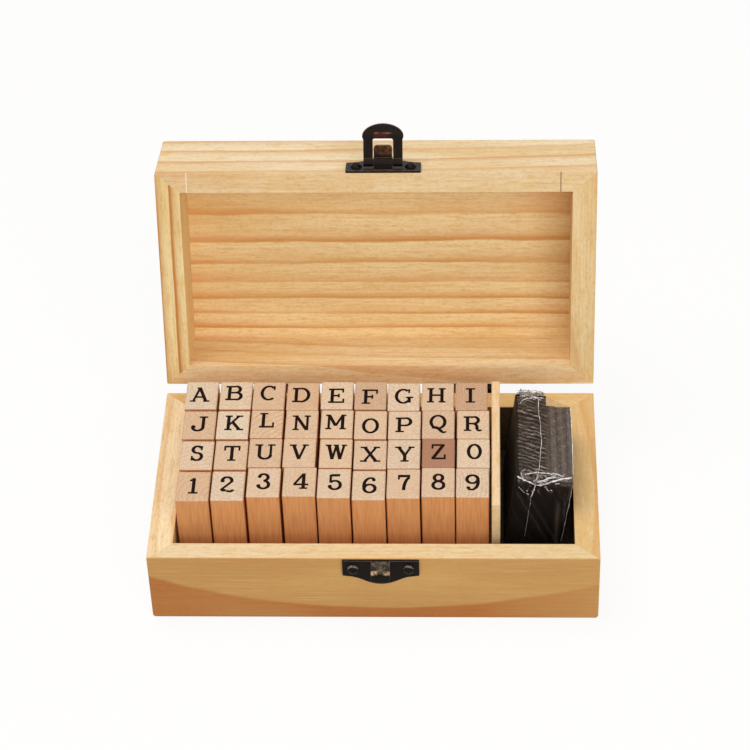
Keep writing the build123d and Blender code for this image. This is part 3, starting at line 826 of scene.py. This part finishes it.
def outward(value, half, low, high=0.99):
    """1 beside one face of the pack, -1 beside the other, and 0 away from both."""
    return rise(np.abs(value) / half, low, high) * np.sign(value)


def ripples(x, y, draw, waves, shortest, longest):
    """A sum of sine waves in random directions, about -1 to 1."""
    total = np.zeros_like(x)
    for _ in range(waves):
        turn, start = draw.uniform(0, 2 * math.pi, 2)
        length = draw.uniform(shortest, longest)
        total += np.sin(2 * math.pi * (x * math.cos(turn) + y * math.sin(turn)) / length + start)
    return total / math.sqrt(waves)


def on_pack(points):
    """Points in millimetres from the middle of the leaning pack, along its own axes, taken to the frame."""
    low, high = (np.array(corner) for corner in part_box("pad_wrap"))
    cosine, sine = math.cos(PACK_LEAN), math.sin(PACK_LEAN)
    axes = np.array(((cosine, 0, -sine), (0, 1, 0), (sine, 0, cosine)))
    return (low + high) / 2 + np.asarray(points, float) @ axes * MM


# The film's grid, how far it lies inside the pack's outline in millimetres, how square its section and its
# ends are, and the radius that its ends' running length is worked out with
FILM_AROUND, FILM_ALONG = 230, 300
FILM_INSET = 0.08
SECTION_POWER, END_POWER = 16, 18
END_RADIUS = 25.0

# The pleats' spacing in millimetres, at first and near the back
PLEAT, CLOSE_PLEAT = 2.1, 1.05

# The haze where the film closes at its ends, and that of a white crease
POLE_HAZE, CREASE_HAZE = 0.04, 0.95


def film_mesh():
    """The film: a squared-off section carried from end to end, drawn in and wrinkled by sums of waves."""
    wide, deep, tall = np.array(PACK_SIZE) / 2 - FILM_INSET
    across, up = rounded(0, 2 * math.pi, SECTION_POWER)
    section_x, section_z = evenly(across * wide, up * tall, FILM_AROUND, closed=True)
    share, along = rounded(-math.pi / 2, math.pi / 2, END_POWER)
    share, along = evenly(share * END_RADIUS, along * deep, FILM_ALONG)
    share = share[1:-1, None] / END_RADIUS
    x, z = share * section_x, share * section_z
    y = np.repeat(along[1:-1, None], FILM_AROUND, axis=1)
    draw = np.random.default_rng(7)

    # Where the film differs
    height = z / tall
    top = rise(height, 0.9, 0.985)
    front = rise(-y / deep, 0.9, 0.99)
    back = rise(y, 17.0, 22.5)
    pleated = rise(3.0 - x, 0.0, 3.5)
    plain, pleated = top * (1 - pleated), top * pleated

    # Waves, and the pleats that bend with them and come and go
    bent = y + 0.34 * x + 0.16 * np.sin(0.7 * x + 0.2 * y) + 0.25 * ripples(x, y, draw, 5, 6, 16)
    phase = 1.6 * np.sin(0.41 * y + 0.1 * x) + 0.7 * ripples(x, y, draw, 5, 2, 5)
    pleats = np.sin(2 * math.pi * bent / PLEAT + phase)
    lively = 0.3 + 0.7 * rise(ripples(x * 0.5, y, draw, 8, 2.5, 9), -0.8, 0.6)
    fine = ripples(x + 0.6 * z, y, draw, 9, 1.6, 5.0)
    broad = ripples(x - z, y + 0.4 * z, draw, 6, 9.0, 22.0)
    crumple = ripples(x * 1.3 + z, y * 0.6 - z, draw, 10, 1.1, 3.2)
    crushed = np.abs(crumple)

    # How far it stands out, in millimetres, with a lip at the back and the right side drawn in there
    front_edge = hump(y, 0.6 - deep, 2.2) * rise(height, 0.75, 0.95)
    ruffle = rise(y, 20.5, 23.0) * rise(height, 0.8, 0.97) * rise(2.0 - x, 0, 3)
    lip = hump(y, 22.9, 0.3, 4) * rise(height, 0.9, 0.99) * rise(1.4 - x, 0, 1.2) * rise(x, -wide, 1.0 - wide)
    lift = -0.05 + pleated * 0.11 * pleats * lively + 0.02 * fine + 0.03 * broad
    lift = np.maximum(lift, -0.16) + (0.3 * front_edge + 0.15 * ruffle) * crushed
    x_shift = np.minimum(lift, 0.1) * outward(x, wide, 0.85)
    y_shift = lift * outward(y, deep, 0.9, 0.995)
    y_shift -= 0.52 * np.clip(x - 1.0, 0, None) * rise(y / deep, 0.6, 1.0)
    z_shift = lift * outward(z, tall, 0.85) + lip * (1.7 + 0.2 * crumple + 0.15 * fine)

    # How much of it is seen, from 0 for clear to 1 for a white crease: its haze, with painted sheen on the
    # pleats' crests
    # The pleats' crests are hazier: painted sheen where the wrinkles catch the light, over the film's own
    # haze
    bright = rise(pleats + 0.2 * fine, 0.35, 1.05) * lively
    gap = rise(-pleats, 0.4, 0.95) * lively
    close = rise(np.sin(2 * math.pi * (bent + 0.2 * fine) / CLOSE_PLEAT), 0.3, 0.95)
    slant = x - 0.09 * (8.0 - z)
    haze = 0.03 + 0.02 * fine * fine - 0.02 * front
    haze += pleated * (1 - back) * (0.04 + 0.56 * bright - 0.06 * gap)
    haze += pleated * back * (0.14 + 0.34 * close + 0.1 * ruffle)
    haze += plain * (0.26 + 0.08 * np.sin(1.9 * x - 5.0 + 0.06 * y) + 0.05 * np.sin(4.9 * x) + 0.04 * fine)
    haze += front_edge * (0.12 + 0.55 * rise(crushed, 0.9, 1.7))
    haze += front * 0.16 * rise(-z, -11.0, -3.0) * hump(slant, 6.6, 0.9)
    haze += front * 0.1 * rise(-z, -14.0, -2.0) * hump(slant, 9.2, 0.5)
    haze += lip * (0.42 + 0.2 * crushed)

    # The grid closes in a fan at each end
    grid = np.stack((x + x_shift, y + y_shift, z + z_shift), axis=-1).reshape(-1, 3)
    verts = on_pack(np.concatenate((grid, ((0, -deep, 0), (0, deep, 0)))))
    rings = FILM_ALONG - 2
    ring = np.arange(FILM_AROUND)
    turn = (ring + 1) % FILM_AROUND
    end = (rings - 1) * FILM_AROUND
    pole = np.full_like(ring, len(grid))
    fans = np.stack((turn, ring, pole), axis=1), np.stack((end + ring, end + turn, pole + 1), axis=1)
    verts, faces = joined([(verts, (tube_faces(rings, FILM_AROUND), *fans))])
    return verts, faces, np.append(np.clip(haze, 0, 1), (POLE_HAZE, POLE_HAZE))


# Points that a fold has for each run of its path, and the odd number of them that its path is smoothed over
FOLD_STEPS = 14
FOLD_WINDOW = 13


def fold(points, width, height, up, draw):
    """A pinched fold: a three-cornered section of uneven size carried along a smooth path."""
    points, up = np.array(points, float), np.array(up, float)
    fine = np.linspace(0, 1, FOLD_STEPS * (len(points) - 1) + 1)
    knots = np.linspace(0, 1, len(points))
    window = np.hanning(FOLD_WINDOW)
    kernel = window[1:-1] / window.sum()
    path = [np.pad(np.interp(fine, knots, run), len(kernel) // 2, "edge") for run in points.T]
    path = np.stack([np.convolve(run, kernel, "valid") for run in path], axis=1)
    path += 0.08 * np.stack([ripples(fine * 40, fine * 9, draw, 5, 2.0, 9.0) for _ in range(3)], axis=1)
    ahead = unit(np.gradient(path, axis=0))
    aside = unit(np.cross(ahead, up))
    taper = np.minimum(1, np.minimum(fine, 1 - fine) * 12 + 0.15)
    size = taper * (0.75 + 0.3 * ripples(fine * 30, fine, draw, 4, 1.5, 6.0))
    size = np.clip(size, 0.12, 1.3)[:, None]
    lean = 0.3 * ripples(fine * 20, fine, draw, 3, 3.0, 9.0)[:, None]
    out = aside * width / 2 * size
    corners = (path - out, path + out, path + (up + aside * lean) * height * size)
    return np.stack(corners, axis=1).reshape(-1, 3), closed_tube(len(fine), len(corners))


UP, AHEAD = (0, 0, 1), (0, -1, 0)

# The film's seam and folds. Each has a path in millimetres from the pack's middle, a width, a height and the
# direction that it stands in, then how much haze it has where it isn't a white crease.
FOLDS = (
    (((-2.0, 23.2, 20.2), (-1.9, 14.0, 19.7), (-1.2, 5.5, 19.7), (-1.1, -4.0, 19.7), (-1.6, -11.0, 19.7),
      (-2.1, -18.2, 19.7), (-3.0, -23.2, 19.5), (-3.2, -23.7, 16.2)), 0.3, 0.5, UP),
    (((-3.1, -23.7, 16.4), (-3.6, -23.7, 12.3), (-4.0, -23.6, 9.2)), 0.65, 0.4, AHEAD),
    (((-4.0, -23.6, 9.6), (-3.9, -23.5, 6.2), (-3.7, -23.5, -1.5), (-3.8, -23.5, -13.2)), 0.16, 0.22, AHEAD),
    (((-10.8, -23.3, 19.6), (-7.6, -23.6, 18.2), (-5.0, -23.7, 17.2), (-3.2, -23.7, 16.2)), 0.6, 0.5, AHEAD),
    (((-3.2, -23.7, 16.2), (-0.9, -23.7, 16.4), (1.9, -23.6, 17.8), (4.6, -23.4, 19.4), (7.3, -22.6, 19.7),
      (10.7, -21.6, 19.7)), 0.75, 0.5, AHEAD),
    (((-3.0, -23.6, 17.4), (-1.0, -23.6, 18.4), (1.8, -23.0, 19.6), (4.4, -22.4, 19.8)), 0.7, 0.45, UP),
    (((-4.2, -23.6, 17.6), (-3.2, -23.6, 18.6), (-2.4, -22.6, 19.7)), 0.6, 0.45, UP),
    (((-6.7, -21.9, 19.7), (-4.0, -21.0, 19.7), (-0.8, -20.5, 19.7), (1.2, -20.8, 19.7)), 0.3, 0.35, UP),
    (((2.0, -20.9, 19.7), (3.6, -20.4, 19.7), (5.0, -20.9, 19.7), (6.4, -21.2, 19.7)), 0.8, 0.4, UP),
    (((-5.9, -23.6, 11.4), (-4.8, -23.6, 10.7)), 0.4, 0.35, AHEAD),
    (((1.2, -23.6, 14.6), (2.3, -23.6, 13.2)), 0.3, 0.3, AHEAD),
    (((4.0, -23.6, 17.4), (5.9, -23.6, 17.9)), 0.4, 0.35, AHEAD),
    (((-9.4, -23.6, 14.8), (-8.2, -23.6, 13.0), (-6.6, -23.6, 11.4)), 0.2, 0.2, AHEAD),
    (((10.4, 18.2, 19.7), (10.7, 9.0, 19.7), (10.8, -4.0, 19.7), (10.7, -21.6, 19.7)), 0.4, 0.25, UP),
    (((10.6, -23.5, 18.4), (10.8, -23.6, 9.6), (10.7, -23.6, -3.5), (10.4, -23.6, -13.8)), 0.26, 0.3, AHEAD),
    (((-8.8, 16.4, 19.7), (-8.7, 18.0, 19.8), (-6.6, 19.6, 19.8), (-3.5, 20.6, 19.8), (0.9, 21.0, 19.7)),
     0.3, 0.4, UP),
    (((-10.6, 22.8, 20.6), (-7.5, 22.9, 21.2), (-4.6, 22.9, 21.3), (-1.8, 22.9, 21.5), (0.9, 22.8, 20.4)),
     0.3, 0.3, UP, 0.6),
    (((-10.4, 22.9, 19.6), (-7.2, 23.1, 19.6), (-3.4, 22.9, 19.6), (0.6, 23.1, 19.6)), 0.8, 1.5, UP, 0.45),
    (((-10.6, 21.8, 19.8), (-7.0, 22.3, 20.2), (-3.4, 22.0, 20.4), (0.4, 22.4, 19.9)), 0.3, 0.4, UP, 0.65),
    (((-9.6, 20.7, 19.8), (-5.6, 21.4, 19.9), (-2.4, 21.1, 20.0)), 0.22, 0.3, UP),
)


def crinkles(draw, count, middle, spread, length, direction, hazes=(0.45, 1.0)):
    """Short folds scattered about a point, most of them across the pack."""
    made = []
    for _ in range(count):
        start = np.array(middle) + np.array(spread) * draw.uniform(-1, 1, 3)
        run = draw.uniform(0.5, 1.0) * length
        slope = draw.normal(0, 0.45)
        tilt = np.array((0, -slope, 0)) if direction == UP else np.array((0, 0, slope))
        end = start + run * (np.array((1.0, 0, 0)) + tilt)
        bend = (start + end) / 2 + 0.1 * run * draw.uniform(-1, 1) * (tilt + 0.3)
        width, height = draw.uniform(0.2, 0.6), draw.uniform(0.15, 0.35)
        made.append(((start, bend, end), width, height, direction, draw.uniform(*hazes)))
    return made


# Where crinkles are scattered, in millimetres: how many, about which point, how far from it, their length and
# the direction that they stand in, then the limits of their haze where they are faint
CRINKLES = (
    (26, (-0.5, -21.6, 19.75), (8.6, 1.3, 0.05), 2.2, UP),
    (12, (-2.5, -23.72, 17.6), (3.0, 0, 1.1), 1.8, AHEAD),
    (10, (-2.0, -23.72, 14.5), (5.0, 0, 2.0), 1.2, AHEAD),
    (9, (-6.4, 20.0, 19.75), (4.4, 2.2, 0.03), 2.4, UP),
    (30, (-7.0, 0.5, 19.7), (3.4, 17.0, 0.03), 4.2, UP, (0.2, 0.42)),
)


def film_folds():
    """All the folds as one mesh."""
    draw = np.random.default_rng(3)
    folds = list(FOLDS)
    for place in CRINKLES:
        folds += crinkles(draw, *place)
    parts, hazes = [], []
    for path, width, height, direction, *faint in folds:
        points, faces = fold(path, width, height, direction, draw)
        parts.append((on_pack(points), faces))
        hazes.append(np.full(len(points), faint[0] if faint else CREASE_HAZE))
    return *joined(parts), np.concatenate(hazes)


# Operators

class STAMPBOX_OT_boards(bpy.types.Operator):
    """Give every board of the base and the lid its own pine grain"""

    bl_idname = "stamp_box.boards"
    bl_label = "Pine boards"

    def execute(self, context):
        for seed, (board, grain) in enumerate(BOARD_GRAIN.items()):
            dress(board, pine(board, grain, 3.7 * seed))
        return {"FINISHED"}


class STAMPBOX_OT_handles(bpy.types.Operator):
    """Give every stamp its own wood on a rubber die"""

    bl_idname = "stamp_box.handles"
    bl_label = "Stamp handles"

    def execute(self, context):
        for row, column, name in stamp_names():
            dress(f"stamp_{name}", stamp_wood(name, 10 * row + column + 1))
        return {"FINISHED"}


class STAMPBOX_OT_prints(bpy.types.Operator):
    """Print each stamp's letter or number on its top and raise it, reversed, under its rubber"""

    bl_idname = "stamp_box.prints"
    bl_label = "Printed letters"

    ink_thick = 0.03 * MM
    relief_thick = 0.28 * MM
    relief_out = 0.27 * MM
    relief_scale = 1.15

    def execute(self, context):
        size = look("stamps").letter_height
        ink, rubber = ink_finish(), rubber_finish()
        for row, column, name in stamp_names():
            low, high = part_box(f"stamp_{name}")
            shift = np.array(PRINT_SHIFTS[row][column]) * TENTH
            centre = np.array(((low.x + high.x) / 2, (low.y + high.y) / 2))
            verts, faces = glyph_mesh(name, size, self.ink_thick)
            verts += (*(centre + shift), high.z)
            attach(new_piece(f"print_{name}", verts, faces, ink), f"stamp_{name}")
            verts, faces = glyph_mesh(name, self.relief_scale * size, self.relief_thick)
            verts[:, 0] *= -1
            verts += (*centre, low.z - self.relief_out)
            relief = new_piece(f"relief_{name}", verts, np.array(faces)[:, ::-1].tolist(), rubber)
            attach(relief, f"stamp_{name}")
        return {"FINISHED"}


class STAMPBOX_OT_metal(bpy.types.Operator):
    """Give the latch, the hinges and the screws their dark bronze"""

    bl_idname = "stamp_box.metal"
    bl_label = "Bronze fittings"

    # In millimetres: the loop's bent edge above the box's underside, and the catch's screws, beside the
    # latch's middle and above the underside
    bent_edge = (134.6, 137.6)
    edge_middle = 136.0
    screw_across = 10.4
    screw_height = 28.5

    def execute(self, context):
        dress("catch_plate", bronze("catch", self.hook_wear_and_highlight))
        dress("hasp_plate", bronze("hasp", self.lip_painted_reflection))
        dress("hasp_loop", bronze("loop", self.flange_wear))
        fittings = bronze("fittings", self.head_painted_highlight, 0.3)
        for node in ("base_screws", "lid_screws", "hinge_base_leaves", "hinge_lid_leaves", "hinge_pins"):
            dress(node, fittings)
        return {"FINISHED"}

    def flange_wear(self, finish, colour, blotch, place, normal):
        """The bent edge above the loop's window is reddish between brighter lines."""
        x, _, z = place
        near = abs(x - LATCH_X).step(3.7, 3.3) * z.between(*self.bent_edge, 0.4)
        line = abs(z - self.edge_middle).step(0.8, 1.0) * blotch.step(0.4, 0.6) * 0.6
        reddish = near * x.step(6.4, 4.2)
        return finish.layer(colour, (reddish, tone(58, 22, 15)), (near * line, tone(112, 82, 66)))

    def hook_wear_and_highlight(self, finish, colour, blotch, place, normal):
        """The hook's upward faces are a lighter olive grey, partly rubbed patina and partly a painted
        highlight of its lit top, with bright copper on the corners of its bend, partly rubbed metal and
        partly a painted highlight.
        """
        x, y, _ = place
        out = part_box("catch_plate")[0].y * PER_METRE
        # Faces that point up, picked by their normal, get the painted highlight of the lit top
        upper = normal[Z].step(0.3, 0.8) * y.step(out + 5.0, out + 4.4) * 0.8
        bend = y.step(out + 1.7, out + 0.9) * normal[Z].step(0.15, 0.5) * blotch.step(0.35, 0.6)
        bend = bend * abs(x - LATCH_X).step(0.8, 2.2) * 0.8
        olive = finish.mix(blotch.step(0.4, 0.7), tone(30, 28, 24), tone(88, 76, 56))
        return finish.layer(colour, (upper, olive), (bend, tone(196, 158, 122)))

    def head_painted_highlight(self, finish, colour, blotch, place, normal):
        """A bright grey arc on the upper rims of the latch's screw heads on the base: a painted highlight
        where the domed heads catch the light.
        """
        across, up = abs(place[X] - LATCH_X) - self.screw_across, place[Z] - self.screw_height
        # Painted highlight: a ring on each head's upper side
        ring = ((across * across + up * up) ** 0.5).between(1.75, 2.4, 0.2) * up.step(0.2, 1.2)
        return finish.mix(ring * blotch.step(0.35, 0.6) * 0.8, colour, tone(140, 130, 120))

    def lip_painted_reflection(self, finish, colour, blotch, place, normal):
        """The barrel and the lip are browner than the plate: a painted reflection of the brown wood that
        their curled top faces.
        """
        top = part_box("hasp_plate")[1].z * PER_METRE
        # Painted reflection on the top few millimetres of the hasp
        reflected_brown = place[Z].step(top - 4.5, top - 3.0) * blotch.step(0.3, 0.7) * 0.7
        return finish.mix(reflected_brown, colour, tone(112, 74, 44))


class STAMPBOX_OT_pad(bpy.types.Operator):
    """Finish the ink pad's case and wrap it in crumpled clear film"""

    bl_idname = "stamp_box.pad"
    bl_label = "Wrapped ink pad"

    def execute(self, context):
        plastic = plastic_finish()
        dress("pad_cover", plastic)
        dress("pad_tray", plastic)
        dress("pad_felt", felt_finish())
        clear = film_finish()
        verts, faces, hazes = film_mesh()
        film = new_piece("film", verts, faces, clear, hazes)
        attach(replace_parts(film, "pad_wrap"), PAD_BODY)
        verts, faces, hazes = film_folds()
        folds = new_piece("film_folds", verts, faces, clear, hazes)
        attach(folds, PAD_BODY)
        return {"FINISHED"}


def aimed(location, back, roll=0.0):
    """A matrix at a location whose local +Z is the given direction, rolled about it."""
    z = unit(np.array(back, float))
    x = unit(np.cross((0, 0, 1), z))
    right = math.cos(roll) * x + math.sin(roll) * np.cross(z, x)
    columns = np.column_stack((right, np.cross(z, right), z, location))
    return Matrix((*columns.tolist(), (0, 0, 0, 1)))


def add_lamp(name, location, target, size, power):
    """A square area lamp that faces its target."""
    data = bpy.data.lights.new(name, "AREA")
    data.size = size
    data.energy = power
    in_scene(name, data).matrix_world = aimed(location, np.array(location) - np.array(target))


class STAMPBOX_OT_studio(bpy.types.Operator):
    """Set up the pale floor, the lamps and the camera"""

    bl_idname = "stamp_box.studio"
    bl_label = "Studio"

    camera_place = (42.90 * MM, -750.19 * MM, 763.45 * MM)
    camera_elevation = math.radians(42.112)
    camera_azimuth = math.radians(-3.198)
    camera_roll = math.radians(-2.167)
    focal_pixels = 2717.7
    picture_pixels = 750
    sensor = 36.0

    # In metres: the floor's half width and height, and the lamps' target, places and sizes
    floor_half = 4.0
    floor_height = -0.05 * MM
    lamp_target = (0, 0.02, 0.06)
    overhead = ((-0.35, 0.12, 1.3), 0.8)
    front = ((0.4, -1.1, 0.85), 1.0)

    # The strength that shows the floor as pale as the backdrop, and its share beside the floor's own shading
    glow_strength = 1.06
    glow_share = 0.85

    def execute(self, context):
        self.add_floor()
        self.add_lamps()
        self.add_camera()
        context.scene.view_settings.view_transform = "Standard"
        return {"FINISHED"}

    def add_floor(self):
        """A wide floor that shows as pale as the backdrop but keeps a soft shadow."""
        corners = np.array(((-1, -1), (1, -1), (1, 1), (-1, 1))) * self.floor_half
        verts = np.column_stack((corners, np.full(4, self.floor_height)))
        finish = Finish("pale floor")
        finish.set(Base_Color=with_alpha(look("studio").floor), Roughness=0.9, Specular_IOR_Level=0.0)
        glow = finish.node("ShaderNodeEmission", None, {"Color": WHITE, "Strength": self.glow_strength})
        shaded = Value(finish, finish.shader.outputs[0])
        sockets = {0: finish.backdrop() * self.glow_share, 1: shaded, 2: glow}
        surface = finish.node("ShaderNodeMixShader", None, sockets)
        finish.feed(finish.tree.nodes["Material Output"].inputs["Surface"], surface)
        floor = new_piece("floor", verts, [[0, 1, 2, 3]], finish)

    def add_lamps(self):
        """Two soft lamps, and even light from all round that shows as white behind the box."""
        studio = look("studio")
        for name, power in (("overhead", studio.key_power), ("front", studio.fill_power)):
            place, size = getattr(self, name)
            add_lamp(name, place, self.lamp_target, size, power)
        sky = Finish("studio", "worlds", "Background")
        bpy.context.scene.world = sky.owner
        sockets = {"Value": sky.backdrop(), "To Min": studio.sky, "To Max": 1.0}
        sky.set(Color=WHITE, Strength=sky.node("ShaderNodeMapRange", None, sockets))

    def add_camera(self):
        data = bpy.data.cameras.new("camera")
        data.sensor_width = self.sensor
        data.lens = self.focal_pixels / self.picture_pixels * self.sensor
        flat = math.cos(self.camera_elevation)
        ahead = np.array((
            math.sin(self.camera_azimuth) * flat,
            math.cos(self.camera_azimuth) * flat,
            -math.sin(self.camera_elevation),
        ))
        camera = in_scene("camera", data)
        camera.matrix_world = aimed(self.camera_place, -ahead, self.camera_roll)
        bpy.context.scene.camera = camera


OPERATORS = (
    STAMPBOX_OT_boards,
    STAMPBOX_OT_handles,
    STAMPBOX_OT_prints,
    STAMPBOX_OT_metal,
    STAMPBOX_OT_pad,
    STAMPBOX_OT_studio,
)


class STAMPBOX_PT_panel(bpy.types.Panel):
    """Lists the steps and their settings"""

    bl_idname = "STAMPBOX_PT_panel"
    bl_label = "Pine stamp box"
    bl_space_type = "VIEW_3D"
    bl_region_type = "UI"
    bl_category = "Stamp box"

    def draw(self, context):
        for operator in OPERATORS:
            self.layout.operator(operator.bl_idname)
        for name, group in LOOKS.items():
            column = self.layout.column()
            column.label(text=group.__name__)
            for setting in group.__annotations__:
                column.prop(getattr(context.scene, name), setting)


def register():
    for group in LOOKS.values():
        bpy.utils.register_class(group)
    for operator in OPERATORS:
        bpy.utils.register_class(operator)
    bpy.utils.register_class(STAMPBOX_PT_panel)
    for name, group in LOOKS.items():
        setattr(bpy.types.Scene, name, bpy.props.PointerProperty(type=group))


def unregister():
    for name in LOOKS:
        delattr(bpy.types.Scene, name)
    bpy.utils.unregister_class(STAMPBOX_PT_panel)
    for operator in reversed(OPERATORS):
        bpy.utils.unregister_class(operator)
    for group in reversed(LOOKS.values()):
        bpy.utils.unregister_class(group)


def main():
    register()
    bpy.ops.stamp_box.boards()
    bpy.ops.stamp_box.handles()
    bpy.ops.stamp_box.prints()
    bpy.ops.stamp_box.metal()
    bpy.ops.stamp_box.pad()
    bpy.ops.stamp_box.studio()


if __name__ == "__main__":
    main()
